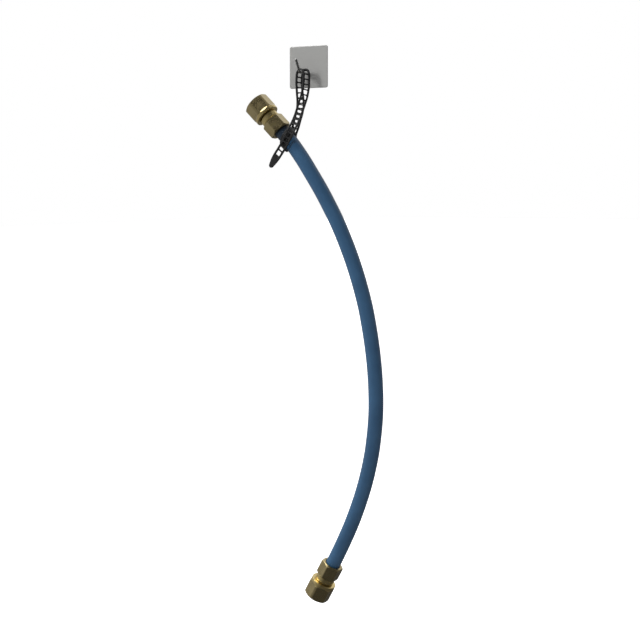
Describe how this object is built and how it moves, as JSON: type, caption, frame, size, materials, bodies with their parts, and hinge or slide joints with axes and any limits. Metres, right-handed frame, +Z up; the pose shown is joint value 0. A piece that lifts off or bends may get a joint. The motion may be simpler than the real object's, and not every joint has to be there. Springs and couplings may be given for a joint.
{
  "type": "filling hose",
  "caption": "Blue rubber filling hose with brass swivel couplings, hung by a black ladder strap from an adhesive wall hook.",
  "frame": {"origin": "middle of the adhesive pad's back face, on the wall", "axes": "+Z up, -Y out of the wall towards the viewer, +X to the viewer's right"},
  "size_m": [0.1771, 0.0395, 0.6792],
  "materials": {
    "blue_rubber": "satin",
    "brass": "machined, dull",
    "ring_steel": "satin",
    "fibre": "matt",
    "black_plastic": "satin",
    "steel": "satin",
    "foam": "matt"
  },
  "bodies": {
    "hung_hose": {"adhesive_pad": "foam", "hook_plate": "steel", "hook_rod": "steel", "hanging_strap": "black_plastic", "hose": "blue_rubber", "top_clamp_nut": "brass", "top_grip_ring": "ring_steel", "top_tail_body": "brass", "top_retaining_ring": "ring_steel", "top_sealing_washer": "fibre", "bottom_clamp_nut": "brass", "bottom_grip_ring": "ring_steel", "bottom_tail_body": "brass", "bottom_retaining_ring": "ring_steel", "bottom_sealing_washer": "fibre"},
    "top_swivel_nut": {"top_union_nut": "brass"},
    "bottom_swivel_nut": {"bottom_union_nut": "brass"}
  },
  "joints": [
    {"name": "top_nut_turn", "type": "hinge", "parent": "hung_hose", "child": "top_swivel_nut", "pos_m": [-0.05351, -0.022, -0.04991], "axis": [-0.7046, 0, 0.7096], "continuous": true},
    {"name": "bottom_nut_turn", "type": "hinge", "parent": "hung_hose", "child": "bottom_swivel_nut", "pos_m": [0.02388, -0.022, -0.63771], "axis": [-0.4571, 0, -0.8894], "continuous": true}
  ]
}
